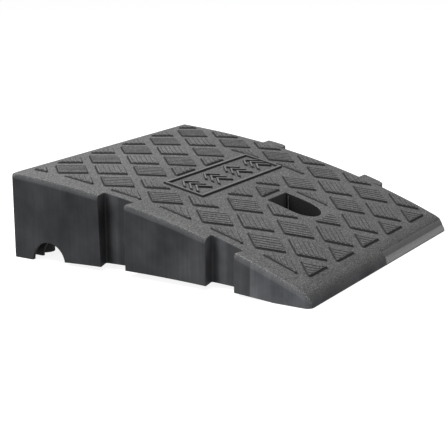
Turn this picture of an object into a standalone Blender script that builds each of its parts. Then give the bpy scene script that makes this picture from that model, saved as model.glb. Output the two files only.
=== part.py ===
"""Modular kerb ramp: one hollow moulding with a studded deck, standing on six screwed-on rubber feet.

Metres, +Z up. X runs across the ramp, from the side with the sockets to the side with the tabs. Y runs up
the slope, from the toe to the high end. The origin is on the ground, below the middle of the whole box.
"""

import math

import bmesh
import bpy
from mathutils import Matrix, Vector

# Driving dimensions.
BODY_WIDTH = 0.4988
BODY_RUN = 0.5335
TAB_REACH = 0.0225
PITCH = 0.045  # between neighbouring rows, and neighbouring columns, of studs
COLUMN_MARGIN = 0.0366  # from the socket side to column 0
ROW_MARGIN = 0.0117  # from the high end to row 0
LAST_ROW = 11
LAST_COLUMN = 10
DECK_TOP = 0.1373  # deck height at row 0
DECK_FALL = (0.0338, 0.0540, 0.0207)  # linear, square and cubic shares of the fall to the last row
BASE = 0.001  # how far the feet stand below the moulding
WALL = 0.006
DECK_SKIN = 0.007
RIB = 0.0035
GAP = 0.0003  # between pieces that touch
NEAR_ROUND = 0.006  # roundings of the deck's edges
FAR_ROUND = 0.0015
HEEL_ROUND = 0.0025
NOSE_ROUND = 0.012
NEAR_TOE_CORNER = 0.006  # roundings of the plan's corners
FAR_TOE_CORNER = 0.006
HEEL_CORNER = 0.002

# The toe's far half is cut back above a sloping lip: (distance from the toe's end, height) of the cut's side.
TOE_CUT_COLUMN = 4.85
TOE_CUT = ((0.0, 0.0025), (0.0058, 0.010), (0.0105, 0.020), (0.0215, 0.0275))

# Underside relief: the walls lift off the ground between the heel and the toe.
ARCH_RISE = 0.009
ARCH_FROM_ROW = 0.5
ARCH_TO_ROW = 10.3

# Studs and badge on the deck.
RELIEF = 0.0034
RELIEF_ROOT = 0.003
RELIEF_COLUMNS = (-0.3, 10.1)  # span of the layer that the studs are cut from
RELIEF_ROWS = (-0.1, 11.2)
STUD_ACROSS = 0.0339  # half diagonals of a stud
STUD_ALONG = 0.0326
FIELD_CUT = 0.061  # how far, in pitches, a halved stud stays from the line that halves it
BADGE_AREA = ((2, 8), (4, 6))  # columns and rows that the studs leave free
GRIP_AREA = ((4, 6), (7, 9))
BADGE_COLUMNS = (2.245, 7.95)
BADGE_ROWS = (4.10, 5.75)
BADGE_RIM = 0.0055
CHEVRON_GROUPS = 4
CHEVRONS_IN_GROUP = 3
CHEVRON_HALF = 0.020
CHEVRON_RISE = 0.016
CHEVRON_BAR = 0.0055  # measured along the slope
CHEVRON_STEP = 0.0125

# Grip hole, sockets, tabs and drain channel, in columns and rows.
GRIP_COLUMN = 5.0
GRIP_HALF_WIDTH = 0.031
GRIP_ROWS = (7.17, 8.87)
SOCKET_DEPTH = 0.0235
SOCKET_ROWS = ((3.47, 4.53), (7.76, 8.80))
SOCKET_UNDERCUT = 0.004
SOCKET_CORNER = 0.003
COLLAR = 0.0058  # thickness of the walls round the grip hole and the sockets
TAB_ROWS = ((3.58, 4.46), (7.92, 8.80))
TAB_FOOT = 0.0115  # height of the tabs' lower ends
TAB_NECK = 0.55  # share of a tab's width that joins the body
TAB_SHOULDER = 0.006  # where a tab's lower side starts, from the far side
TAB_TIP = 0.011  # length of the slanted end of a tab's lower side
TAB_CORNER = 0.003
TAB_DROP = 0.0004  # how far the tabs' tops lie below the deck
CHANNEL_ROW = 1.277
CHANNEL_RADIUS = 0.032

# Underside ribs: columns between which the cells lie.
RIB_COLUMNS = (-0.2, 1, 2, 3, 4, 5, 6, 7, 8, 9)
CEILING_END_ROW = 11.1

# Feet, screws and washers.
FOOT_RADIUS = 0.012
FOOT_HEIGHT = 0.008
FOOT_BEVEL = 0.001
FOOT_COUNTERBORE = 0.0068
FOOT_LEDGE = 0.005
FOOT_BORE = 0.0029
BOSS_RADIUS = 0.015
SCREW_RADIUS = 0.0024
SCREW_POINT = (0.0010, 0.003)  # radius of the flat end, and length of the taper
SCREW_HEAD_RADIUS = 0.0046
SCREW_HEAD_HEIGHT = 0.0022
SCREW_HEAD_CROWN = (0.0032, 0.0009)  # radius of the head's flat, and depth of the slope round it
SCREW_LENGTH = 0.018
WASHER_RADIUS = 0.0062
WASHER_THICKNESS = 0.001
FOOT_COLUMNS = {"near": 0.4, "mid": 5.0, "far": 9.55}
FOOT_ROWS = {"heel": 0.17, "toe": 10.75}

# Fineness of round shapes, and reach of the cutters past what they cut.
ROUND_STEPS = 16
CHANNEL_STEPS = 32
CORNER_STEPS = 4
GRIP_STEPS = 12
CUT_LOW = -0.02
CUT_HIGH = 0.2
SPARE = 0.01

NEAR_FACE = -(BODY_WIDTH + TAB_REACH) / 2
FAR_FACE = NEAR_FACE + BODY_WIDTH
HIGH_END = BODY_RUN / 2
TOE_END = -BODY_RUN / 2


def column(number):
    return NEAR_FACE + COLUMN_MARGIN + number * PITCH


def row(number):
    return HIGH_END - ROW_MARGIN - number * PITCH


def deck_height(y):
    """Height of the deck above the ground: a cubic fall that steepens towards the toe."""
    share = (row(0) - y) / (LAST_ROW * PITCH)
    linear, square, cubic = DECK_FALL
    return DECK_TOP - share * (linear + share * (square + share * cubic))


def arch_height(y):
    """Height of the walls' lower edges: a shallow arc between the heel and the toe."""
    middle = row((ARCH_FROM_ROW + ARCH_TO_ROW) / 2)
    half = (ARCH_TO_ROW - ARCH_FROM_ROW) / 2 * PITCH
    radius = (half**2 + ARCH_RISE**2) / (2 * ARCH_RISE)
    return BASE + math.sqrt(radius**2 - (y - middle) ** 2) - (radius - ARCH_RISE)


def arc(centre, radius, start, end, steps):
    """Points on a circle, from one angle in degrees to another."""
    angles = [math.radians(start + (end - start) * i / steps) for i in range(steps + 1)]
    return [(centre[0] + radius * math.cos(a), centre[1] + radius * math.sin(a)) for a in angles]


# Scene, collections and materials.


def clear_scene():
    for obj in list(bpy.data.objects):
        bpy.data.objects.remove(obj, do_unlink=True)


def new_collection(name):
    collection = bpy.data.collections.new(name)
    bpy.context.scene.collection.children.link(collection)
    return collection


def plain_material(name, colour, roughness, metallic=0.0):
    material = bpy.data.materials.new(name)
    material.use_nodes = True
    shader = material.node_tree.nodes["Principled BSDF"]
    shader.inputs["Base Color"].default_value = (*colour, 1.0)
    shader.inputs["Roughness"].default_value = roughness
    shader.inputs["Metallic"].default_value = metallic
    return material


def moulding_material():
    return plain_material("grey_polymer", (0.13, 0.135, 0.135), 0.55)


def foot_material():
    return plain_material("foot_rubber", (0.020, 0.020, 0.021), 0.85)


def screw_material():
    return plain_material("zinc_screw", (0.62, 0.62, 0.60), 0.35, 1.0)


def washer_material():
    return plain_material("zinc_washer", (0.66, 0.66, 0.65), 0.40, 1.0)


# Modelling helpers.


def object_from(bm, name, collection):
    mesh = bpy.data.meshes.new(name)
    bmesh.ops.recalc_face_normals(bm, faces=bm.faces)
    bm.to_mesh(mesh)
    bm.free()
    obj = bpy.data.objects.new(name, mesh)
    collection.objects.link(obj)
    return obj


def add_box(bm, low, high):
    size = [b - a for a, b in zip(low, high)]
    middle = [(a + b) / 2 for a, b in zip(low, high)]
    matrix = Matrix.Translation(middle) @ Matrix.Diagonal((*size, 1))
    bmesh.ops.create_cube(bm, size=1.0, matrix=matrix)


def add_slab(bm, outline, shift):
    """A solid with a flat outline, whose points are full coordinates, swept along one direction."""
    face = bm.faces.new([bm.verts.new(point) for point in outline])
    swept = bmesh.ops.extrude_face_region(bm, geom=[face])
    moved = [item for item in swept["geom"] if isinstance(item, bmesh.types.BMVert)]
    bmesh.ops.translate(bm, verts=moved, vec=Vector(shift))


def add_column(bm, plan, low, high):
    """A vertical prism with the given plan."""
    add_slab(bm, [(x, y, low) for x, y in plan], (0, 0, high - low))


def add_sweep(bm, side, left, right):
    """A solid with the given side outline, in Y and Z, swept along X."""
    add_slab(bm, [(left, y, z) for y, z in side], (right - left, 0, 0))


def modify(obj, operation, other):
    modifier = obj.modifiers.new(f"{operation.lower()}_{other.name}", "BOOLEAN")
    modifier.operation = operation
    modifier.object = other
    modifier.solver = "EXACT"


def as_cutter(obj):
    obj.hide_render = True
    obj.display_type = "WIRE"
    return obj


def turned_mesh(name, profile, closed):
    """A mesh turned about Z from a profile of (radius, height) points, listed from top to bottom."""
    bm = bmesh.new()
    verts = [bm.verts.new((radius, 0, height)) for radius, height in profile]
    ends = verts[1:] + verts[:1] if closed else verts[1:]
    for first, second in zip(verts, ends):
        bm.edges.new((first, second))
    mesh = bpy.data.meshes.new(name + "_profile")
    bm.to_mesh(mesh)
    bm.free()
    obj = bpy.data.objects.new(name + "_profile", mesh)
    bpy.context.scene.collection.objects.link(obj)
    screw = obj.modifiers.new("turn", "SCREW")
    screw.steps = ROUND_STEPS
    screw.render_steps = ROUND_STEPS
    screw.use_merge_vertices = True
    screw.merge_threshold = 0.00005
    bpy.context.view_layer.update()
    evaluated = obj.evaluated_get(bpy.context.evaluated_depsgraph_get())
    turned = bpy.data.meshes.new_from_object(evaluated)
    turned.name = name
    bpy.data.objects.remove(obj, do_unlink=True)
    return turned


def copies_of(mesh, name, places, collection):
    """One object that holds a separate copy of a mesh at each place."""
    bm = bmesh.new()
    for place in places:
        known = set(bm.verts)
        bm.from_mesh(mesh)
        bmesh.ops.translate(bm, verts=[v for v in bm.verts if v not in known], vec=Vector(place))
    return object_from(bm, name, collection)


def clipped(plan, point, normal):
    """The part of a convex plan on the normal's side of a line."""
    kept = []
    for a, b in zip(plan, plan[1:] + plan[:1]):
        near_a = (a[0] - point[0]) * normal[0] + (a[1] - point[1]) * normal[1]
        near_b = (b[0] - point[0]) * normal[0] + (b[1] - point[1]) * normal[1]
        if near_a >= 0:
            kept.append(a)
        if near_a * near_b < 0:
            share = near_a / (near_a - near_b)
            kept.append((a[0] + (b[0] - a[0]) * share, a[1] + (b[1] - a[1]) * share))
    return kept


# The moulding.


def deck_line(from_row, to_row, lift=0.0):
    """Points on the deck at each whole row between two rows, with both ends."""
    rows = [from_row] + [n for n in range(LAST_ROW + 1) if from_row < n < to_row] + [to_row]
    return [(row(n), deck_height(row(n)) + lift) for n in rows]


def nose_line():
    """Quarter circle from the deck's end down the toe."""
    centre_y = TOE_END + NOSE_ROUND
    height = deck_height(centre_y)
    return arc((centre_y, height - NOSE_ROUND), NOSE_ROUND, 90, 180, CORNER_STEPS)


def arch_line():
    """Lower edges of the walls from toe to heel."""
    rows = [ARCH_TO_ROW] + list(range(10, 0, -1)) + [ARCH_FROM_ROW]
    return [(row(n), arch_height(row(n))) for n in rows]


def side_outline():
    nose_row = (row(0) - TOE_END - NOSE_ROUND) / PITCH
    heel_row = (row(0) - HIGH_END) / PITCH
    deck = deck_line(heel_row, nose_row)
    nose = nose_line()
    return [(HIGH_END, BASE)] + deck[:-1] + nose + [(TOE_END, BASE)] + arch_line()


def blank(collection):
    """The moulding before anything is cut: side outline, swept across and rounded along the deck's edges."""
    bm = bmesh.new()
    add_sweep(bm, side_outline(), NEAR_FACE, FAR_FACE)

    def on_deck(point):
        return point.z > deck_height(point.y) - NEAR_ROUND / 2 and point.y > TOE_END + NOSE_ROUND / 2

    def round_where(chosen, reach, segments):
        edges = [e for e in bm.edges if all(on_deck(v.co) and chosen(v.co) for v in e.verts)]
        bmesh.ops.bevel(bm, geom=edges, offset=reach, segments=segments, profile=0.5, affect="EDGES")

    round_where(lambda point: abs(point.x - NEAR_FACE) < GAP, NEAR_ROUND, 2)
    round_where(lambda point: abs(point.x - FAR_FACE) < GAP, FAR_ROUND, 1)
    round_where(lambda point: abs(point.y - HIGH_END) < GAP, HEEL_ROUND, 1)
    return object_from(bm, "ramp_body", collection)


def rounded_plan(corners):
    """Plan with rounded corners, from (x, y, radius, start angle) of right-angled corners, listed
    counter-clockwise."""
    plan = []
    for x, y, radius, start in corners:
        middle = math.radians(start + 45)
        reach = radius * math.sqrt(2)
        centre = (x - reach * math.cos(middle), y - reach * math.sin(middle))
        plan += arc(centre, radius, start, start + 90, CORNER_STEPS)
    return plan


def plan_outline(collection):
    """Plan of the moulding without its tabs and sockets."""
    plan = rounded_plan(
        [
            (NEAR_FACE, TOE_END, NEAR_TOE_CORNER, 180),
            (FAR_FACE, TOE_END, FAR_TOE_CORNER, 270),
            (FAR_FACE, HIGH_END, HEEL_CORNER, 0),
            (NEAR_FACE, HIGH_END, HEEL_CORNER, 90),
        ]
    )
    bm = bmesh.new()
    add_column(bm, plan, CUT_LOW, CUT_HIGH)
    return as_cutter(object_from(bm, "plan_outline", collection))


def toe_cut(collection):
    """What the toe's far half lacks above its sloping lip."""
    side = [(TOE_END + reach, height) for reach, height in TOE_CUT]
    side = [(TOE_END - SPARE, side[0][1])] + side + [(side[-1][0], CUT_HIGH), (TOE_END - SPARE, CUT_HIGH)]
    bm = bmesh.new()
    add_sweep(bm, side, column(TOE_CUT_COLUMN), FAR_FACE + SPARE)
    return as_cutter(object_from(bm, "toe_cut", collection))


def coupling_tabs(collection):
    """Two hooked tabs on the far side, as high as the deck, that enter the next ramp's sockets."""
    bm = bmesh.new()
    root = FAR_FACE - WALL / 2
    outer = FAR_FACE + TAB_REACH
    for first, last in TAB_ROWS:
        high, low = row(first), row(last)
        neck = high - (high - low) * TAB_NECK
        plan = [(root, high), (outer - TAB_CORNER, high), (outer, high - TAB_CORNER), (outer, low + TAB_TIP)]
        plan += [(outer - TAB_CORNER, low + TAB_CORNER), (outer - TAB_TIP, low)]
        plan += [(FAR_FACE + TAB_SHOULDER, low), (FAR_FACE + TAB_SHOULDER / 3, neck), (root, neck)]
        add_column(bm, plan, CUT_LOW, CUT_HIGH)
    tabs = object_from(bm, "coupling_tabs", collection)
    bm = bmesh.new()
    side = deck_line(0, LAST_ROW, -TAB_DROP) + [(row(LAST_ROW), TAB_FOOT), (row(0), TAB_FOOT)]
    add_sweep(bm, side, FAR_FACE - WALL, outer + SPARE)
    modify(tabs, "INTERSECT", as_cutter(object_from(bm, "tab_height", collection)))
    return as_cutter(tabs)


def stud_cuts(u, v):
    """Directions, in columns and rows, of the half of a stud that is kept: none for a whole stud, and None
    for a stud that is left out."""
    kept = []
    if u in (0, LAST_COLUMN):
        kept.append((1 if u == 0 else -1, 0))
    if v in (0, LAST_ROW):
        kept.append((0, 1 if v == 0 else -1))
    for (left, right), (high, low) in (BADGE_AREA, GRIP_AREA):
        if left < u < right and high < v < low:
            return None
        if u in (left, right) and high <= v <= low:
            kept.append((-1 if u == left else 1, 0))
        elif v in (high, low) and left < u < right:
            kept.append((0, -1 if v == high else 1))
    return kept


def stud_plans():
    """Diamonds in a chequered grid, halved at the field's edge, round the badge and round the grip hole."""
    plans = []
    for v in range(LAST_ROW + 1):
        for u in range(v % 2, LAST_COLUMN + 1, 2):
            kept = stud_cuts(u, v)
            if kept is None:
                continue
            x, y = column(u), row(v)
            plan = [(x + STUD_ACROSS, y), (x, y + STUD_ALONG), (x - STUD_ACROSS, y), (x, y - STUD_ALONG)]
            for across, down in kept:
                normal = (across, -down)
                cut = FIELD_CUT * PITCH
                plan = clipped(plan, (x + normal[0] * cut, y + normal[1] * cut), normal)
            plans.append(plan)
    return plans


def chevron_plans():
    """Groups of nested chevrons that point up the slope."""
    left, right = column(BADGE_COLUMNS[0]), column(BADGE_COLUMNS[1])
    height = CHEVRON_RISE + CHEVRON_BAR + CHEVRON_STEP * (CHEVRONS_IN_GROUP - 1)
    top = row(sum(BADGE_ROWS) / 2) + height / 2
    plans = []
    for group in range(CHEVRON_GROUPS):
        x = left + (right - left) * (group + 0.5) / CHEVRON_GROUPS
        for n in range(CHEVRONS_IN_GROUP):
            tip = top - CHEVRON_STEP * n
            foot = tip - CHEVRON_RISE
            plan = [(x, tip), (x + CHEVRON_HALF, foot), (x + CHEVRON_HALF, foot - CHEVRON_BAR)]
            plan += [(x, tip - CHEVRON_BAR), (x - CHEVRON_HALF, foot - CHEVRON_BAR), (x - CHEVRON_HALF, foot)]
            plans.append(plan)
    return plans


def add_frame(bm, columns, rows, width):
    """Tall rectangular frame, with its outer edges on the given columns and rows."""
    rings = []
    for inset in (0, width):
        left, right = column(columns[0]) + inset, column(columns[1]) - inset
        low, high = row(rows[1]) + inset, row(rows[0]) - inset
        plan = ((left, low), (right, low), (right, high), (left, high))
        rings += [[bm.verts.new((x, y, z)) for x, y in plan] for z in (CUT_LOW, CUT_HIGH)]
    outer_low, outer_high, inner_low, inner_high = rings
    loops = (outer_low, outer_high, inner_high, inner_low, outer_low)
    for one, other in zip(loops, loops[1:]):
        for i in range(len(one)):
            j = (i + 1) % len(one)
            bm.faces.new([one[i], one[j], other[j], other[i]])


def deck_relief(collection):
    """Layer that follows the deck, cut into the studs and the badge."""
    bm = bmesh.new()
    top = deck_line(*RELIEF_ROWS, RELIEF)
    bottom = deck_line(*RELIEF_ROWS, -RELIEF_ROOT)
    left, right = RELIEF_COLUMNS
    add_sweep(bm, top + bottom[::-1], column(left), column(right))
    layer = object_from(bm, "deck_relief", collection)
    bm = bmesh.new()
    for plan in stud_plans() + chevron_plans():
        add_column(bm, plan, CUT_LOW, CUT_HIGH)
    add_frame(bm, BADGE_COLUMNS, BADGE_ROWS, BADGE_RIM)
    modify(layer, "INTERSECT", as_cutter(object_from(bm, "relief_shapes", collection)))
    return as_cutter(layer)


def grip_plan(margin=0.0):
    """D-shaped plan of the grip hole: straight at the high side, half round at the low side."""
    x = column(GRIP_COLUMN)
    half = GRIP_HALF_WIDTH + margin
    round_centre = (x, row(GRIP_ROWS[1]) + GRIP_HALF_WIDTH)
    high = row(GRIP_ROWS[0]) + margin
    return [(x + half, high), (x - half, high)] + arc(round_centre, half, 180, 360, GRIP_STEPS)


def socket_plans(margin=0.0):
    """Plans of the two slots in the near side, which widen a little inwards."""
    plans = []
    for first, last in SOCKET_ROWS:
        high, low = row(first) + margin, row(last) - margin
        back = NEAR_FACE + SOCKET_DEPTH + margin
        wide_high, wide_low = high + SOCKET_UNDERCUT, low - SOCKET_UNDERCUT
        plan = [(NEAR_FACE - SPARE, high), (NEAR_FACE, high), (back - SOCKET_CORNER, wide_high)]
        plan += [(back, wide_high - SOCKET_CORNER), (back, wide_low + SOCKET_CORNER)]
        plan += [(back - SOCKET_CORNER, wide_low), (NEAR_FACE, low), (NEAR_FACE - SPARE, low)]
        plans.append(plan)
    return plans


def upright_cutter(name, plans, collection, spare=0.0):
    """Tall prisms with the given plans."""
    bm = bmesh.new()
    for plan in plans:
        add_column(bm, plan, CUT_LOW - spare, CUT_HIGH + spare)
    return as_cutter(object_from(bm, name, collection))


def circle_plan(centre, radius, steps):
    return arc(centre, radius, 0, 360 - 360 / steps, steps - 1)


def underside_cells(collection):
    """The hollow under the deck: one tall cell between each two ribs, less the collars of the grip hole and
    the sockets, and the foot bosses."""
    bm = bmesh.new()
    edges = [NEAR_FACE + WALL - RIB / 2] + [column(n) for n in RIB_COLUMNS] + [FAR_FACE - WALL + RIB / 2]
    lines = [HIGH_END - WALL + RIB / 2] + [row(n) for n in range(1, LAST_ROW + 1)]
    for left, right in zip(edges, edges[1:]):
        for high, low in zip(lines, lines[1:]):
            corner = (left + RIB / 2, low + RIB / 2, CUT_LOW)
            add_box(bm, corner, (right - RIB / 2, high - RIB / 2, CUT_HIGH))
    cells = object_from(bm, "underside_cells", collection)

    bm = bmesh.new()
    ceiling = deck_line((row(0) - HIGH_END) / PITCH, CEILING_END_ROW, -DECK_SKIN)
    side = [(HIGH_END, CUT_LOW - SPARE)] + ceiling + [(ceiling[-1][0], CUT_LOW - SPARE)]
    add_sweep(bm, side, NEAR_FACE - WALL, FAR_FACE + WALL)
    modify(cells, "INTERSECT", as_cutter(object_from(bm, "cell_ceiling", collection)))
    bosses = [circle_plan(place, BOSS_RADIUS, ROUND_STEPS) for place in foot_places()]
    collars = [grip_plan(COLLAR)] + socket_plans(COLLAR)
    modify(cells, "DIFFERENCE", upright_cutter("solid_grounds", bosses + collars, collection, 2 * SPARE))
    return as_cutter(cells)


def drain_channel(collection):
    """Half-round way through all the ribs, along the kerb."""
    bm = bmesh.new()
    side = circle_plan((row(CHANNEL_ROW), BASE), CHANNEL_RADIUS, CHANNEL_STEPS)
    add_sweep(bm, side, NEAR_FACE - SPARE, FAR_FACE + SPARE)
    return as_cutter(object_from(bm, "drain_channel", collection))


def foot_seats(collection):
    """Round seat and pilot hole above each foot."""
    seat = FOOT_RADIUS + GAP
    pilot = SCREW_RADIUS + GAP
    top = FOOT_HEIGHT + GAP
    end = screw_top() + pilot
    profile = [(0, end), (pilot, end), (pilot, top), (seat, top), (seat, -SPARE), (0, -SPARE)]
    mesh = turned_mesh("foot_seat", profile, closed=False)
    places = [(x, y, 0) for x, y in foot_places()]
    return as_cutter(copies_of(mesh, "foot_seats", places, collection))


def ramp_body(parts, cutters):
    body = blank(parts)
    modify(body, "INTERSECT", plan_outline(cutters))
    modify(body, "DIFFERENCE", toe_cut(cutters))
    modify(body, "UNION", coupling_tabs(cutters))
    modify(body, "UNION", deck_relief(cutters))
    modify(body, "DIFFERENCE", underside_cells(cutters))
    modify(body, "DIFFERENCE", upright_cutter("sockets_and_grip", [grip_plan()] + socket_plans(), cutters))
    modify(body, "DIFFERENCE", drain_channel(cutters))
    modify(body, "DIFFERENCE", foot_seats(cutters))
    body.data.materials.append(moulding_material())


# Feet and their fasteners.


def foot_places():
    return [(column(c), row(r)) for r in FOOT_ROWS.values() for c in FOOT_COLUMNS.values()]


def head_top():
    """Height of the screw head's bearing face, one washer and two gaps below the foot's ledge."""
    return FOOT_LEDGE - WASHER_THICKNESS - 2 * GAP


def screw_top():
    return head_top() + SCREW_LENGTH


def one_at_each_foot(name, mesh, material, parts):
    """One object at each foot's place, named for its corner. They share a mesh."""
    mesh.shade_smooth()
    mesh.set_sharp_from_angle(angle=math.radians(40))
    mesh.materials.append(material)
    for row_name, row_number in FOOT_ROWS.items():
        for column_name, column_number in FOOT_COLUMNS.items():
            piece = bpy.data.objects.new(f"{name}_{row_name}_{column_name}", mesh)
            piece.location = (column(column_number), row(row_number), 0)
            parts.objects.link(piece)


def feet(parts):
    """Rubber discs, each with a counterbore for its screw."""
    profile = [(FOOT_BORE, FOOT_HEIGHT), (FOOT_RADIUS, FOOT_HEIGHT)]
    profile += [(FOOT_RADIUS, FOOT_BEVEL), (FOOT_RADIUS - FOOT_BEVEL, 0)]
    profile += [(FOOT_COUNTERBORE, 0), (FOOT_COUNTERBORE, FOOT_LEDGE), (FOOT_BORE, FOOT_LEDGE)]
    one_at_each_foot("foot", turned_mesh("foot", profile, closed=True), foot_material(), parts)


def foot_screws(parts):
    """Pan-head screws that hold the feet, head down."""
    head = head_top()
    bottom = head - SCREW_HEAD_HEIGHT
    end_radius, taper = SCREW_POINT
    flat_radius, crown = SCREW_HEAD_CROWN
    profile = [(0, screw_top()), (end_radius, screw_top()), (SCREW_RADIUS, screw_top() - taper)]
    profile += [(SCREW_RADIUS, head), (SCREW_HEAD_RADIUS, head), (SCREW_HEAD_RADIUS, bottom + crown)]
    profile += [(flat_radius, bottom), (0, bottom)]
    one_at_each_foot("screw", turned_mesh("screw", profile, closed=False), screw_material(), parts)


def foot_washers(parts):
    top = FOOT_LEDGE - GAP
    bottom = top - WASHER_THICKNESS
    inner = SCREW_RADIUS + GAP
    profile = [(inner, top), (WASHER_RADIUS, top), (WASHER_RADIUS, bottom), (inner, bottom)]
    one_at_each_foot("washer", turned_mesh("washer", profile, closed=True), washer_material(), parts)


def main():
    clear_scene()
    parts = new_collection("kerb_ramp")
    cutters = new_collection("cutters")
    ramp_body(parts, cutters)
    feet(parts)
    foot_screws(parts)
    foot_washers(parts)
    bpy.context.view_layer.update()


main()
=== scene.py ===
import math

import bmesh
import bpy
import numpy as np
from mathutils import Matrix, Vector
from mathutils.geometry import delaunay_2d_cdt


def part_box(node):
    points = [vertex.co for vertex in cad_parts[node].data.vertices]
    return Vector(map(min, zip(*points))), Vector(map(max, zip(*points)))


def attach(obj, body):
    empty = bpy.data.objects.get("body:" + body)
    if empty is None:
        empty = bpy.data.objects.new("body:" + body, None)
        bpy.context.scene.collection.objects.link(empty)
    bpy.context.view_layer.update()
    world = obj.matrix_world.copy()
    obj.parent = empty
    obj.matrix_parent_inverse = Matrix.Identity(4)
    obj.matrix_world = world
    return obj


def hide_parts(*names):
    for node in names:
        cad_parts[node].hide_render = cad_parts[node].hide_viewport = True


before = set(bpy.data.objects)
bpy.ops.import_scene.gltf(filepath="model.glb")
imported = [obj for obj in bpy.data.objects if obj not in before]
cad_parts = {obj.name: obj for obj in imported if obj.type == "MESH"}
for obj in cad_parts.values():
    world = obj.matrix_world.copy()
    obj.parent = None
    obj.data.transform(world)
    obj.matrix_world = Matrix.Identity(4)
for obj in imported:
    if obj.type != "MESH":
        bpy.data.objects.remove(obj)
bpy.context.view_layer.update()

# Dimensions of the moulding, in metres. They repeat the CAD's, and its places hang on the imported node's box.
# Columns run from the near face to the far one and rows from the high end to the toe, a pitch apart.
BODY_LOW, BODY_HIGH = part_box("ramp_body")
NEAR_FACE = BODY_LOW.x
TAB_END = BODY_HIGH.x
HIGH_END = BODY_HIGH.y
TOE_END = BODY_LOW.y
TAB_REACH = 0.0225
FAR_FACE = TAB_END - TAB_REACH
BASE = BODY_LOW.z
PITCH = 0.045
COLUMN_MARGIN = 0.0366
ROW_MARGIN = 0.0117
LAST_ROW = 11
LAST_COLUMN = 10
DECK_TOP = 0.1373
DECK_FALL = (0.0338, 0.0540, 0.0207)
WALL = 0.006
DECK_SKIN = 0.007
RIB = 0.0035
GAP = 0.0003
CIRCLE_STEPS = 32
MOULDING_SHARP = math.radians(32)
FITTING_SHARP = math.radians(35)

# Corners of the plan: (radius at the wall, radius at the deck). A tab's go from its neck round its end, and
# a socket's from its high side round its back.
NEAR_TOE_CORNER = (0.010, 0.010)
FAR_TOE_CORNER = (0.006, 0.010)
FAR_HEEL_CORNER = (0.002, 0.003)
NEAR_HEEL_CORNER = (0.003, 0.014)
TAB_CORNERS = (
    (0.0008, 0.0008),
    (0.0012, 0.0008),
    (0.002, 0.002),
    (0.003, 0.002),
    (0.004, 0.003),
    (0.003, 0.002),
    (0.0015, 0.0015),
)
SOCKET_CORNERS = ((0.0012, 0.001), (0.003, 0.003), (0.003, 0.003), (0.002, 0.006))
CORNER_STEPS = 6
BIG_RADIUS = 0.02
BIG_CORNER_STEPS = 9
LONGEST_EDGE = 0.011

# Roundings of the deck's edges: (reach inwards, depth, share that is a flat facet).
NEAR_EDGE = (0.0035, 0.0095, 0.8)
FAR_EDGE = (0.0010, 0.0010, 0.0)
HEEL_EDGE = (0.0025, 0.0025, 0.0)
NOSE_EDGE = (0.0115, 0.0125, 0.0)
SLOT_EDGE = (0.0010, 0.0010, 0.0)
GRIP_EDGE = (0.0014, 0.0014, 0.0)
ROUND_STEPS = 6
FACET_PROFILE = ((1, 0), (0.93, 0.02), (0.80, 0.10), (0.45, 0.45), (0.10, 0.80), (0.02, 0.93), (0, 1))

# The lower edge's arch off the ground, and the underside's ceiling.
ARCH_RISE = 0.009
ARCH_FROM_ROW = 0.5
ARCH_TO_ROW = 10.3
ARCH_STEPS = 25
CEILING_END_ROW = 11.1
CEILING_STEPS = 24

# Studs and badge. A profile is (distance inwards from the outline, height above the deck).
RELIEF = 0.0034
PLATEAU = 0.0027
STUD_ACROSS = 0.0339
STUD_ALONG = 0.0326
FIELD_CUT = 0.061
STUD_CORNER = 0.0022
STUD_CORNER_STEPS = 3
# The first point lies outside the stud, so that the low slope round its foot takes the painted shade of the
# stud's sides.
STUD_PROFILE = ((-0.0014, 0.0), (-0.0003, 0.0009), (0.0004, 0.0020), (0.0009, PLATEAU))
BAR_PROFILE = ((0.0, 0.0), (0.0002, 0.0026), (0.0005, 0.0031), (0.0009, RELIEF))
RIDGE_RIM = 0.0018
RIDGE_PITCH = 0.00815
RIDGE_HALF = 0.0026
RIDGE_SLOPE = 0.0005
RIDGE_SHORTEST_EDGE = 0.0004
RIDGE_LEAST_AREA = 9e-6
RIDGE_LEAST_TOP = 0.1
BADGE_COLUMNS = (2.245, 7.95)
BADGE_ROWS = (4.10, 5.75)
BADGE_RIM = 0.0055
CHEVRON_GROUPS = 4
CHEVRONS_IN_GROUP = 3
CHEVRON_HALF = 0.020
CHEVRON_RISE = 0.016
CHEVRON_BAR = 0.0055
CHEVRON_STEP = 0.0125

# Studs beside the badge and the grip hole: (left column, right column, high row, low row).
KEPT_CLEAR = ((2, 8, 4, 6), (4, 6, 7, 9))

# The plan's mesh. INSIDE_LOOPS is the output type of delaunay_2d_cdt that keeps what is inside its loops.
GRID_CLEARANCE = 0.003
PLAN_MERGE = 1e-7
INSIDE_LOOPS = 1

# Grip hole with its seam, sockets, tabs, drain channel and ribs.
GRIP_COLUMN = 5.0
GRIP_HALF_WIDTH = 0.031
GRIP_ROWS = (7.17, 8.87)
GRIP_HIGH_CORNER = 0.0015
GRIP_ROUND_SPARE = 0.0005
SEAM_PLACE = 0.0052
SEAM_HALF = 0.0005
SEAM_LEAN = 0.0012
SEAM_RELIEF = 0.0009
SEAM_LOW = 0.012
SEAM_SINK = 0.004
SOCKET_DEPTH = 0.0235
SOCKET_ROWS = ((3.47, 4.53), (7.76, 8.80))
SOCKET_UNDERCUT = 0.004
SOCKET_TAPER = 0.0042
TAPER_ROOM = 0.0025
TAPER_SPARE = 0.01
COLLAR = 0.0058
TAB_ROWS = ((3.58, 4.46), (7.92, 8.80))
TAB_FOOT = 0.0115
TAB_NECK = 0.55
TAB_FLARE = 0.006
TAB_SLOPE = 0.011
TAB_TIP = 0.003
TAB_CLEARANCE = 0.0001
CHANNEL_ROW = 1.277
CHANNEL_RADIUS = 0.032
CHANNEL_STEPS = 48
RIB_COLUMNS = (-0.2, 1, 2, 3, 4, 5, 6, 7, 8, 9)

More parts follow.
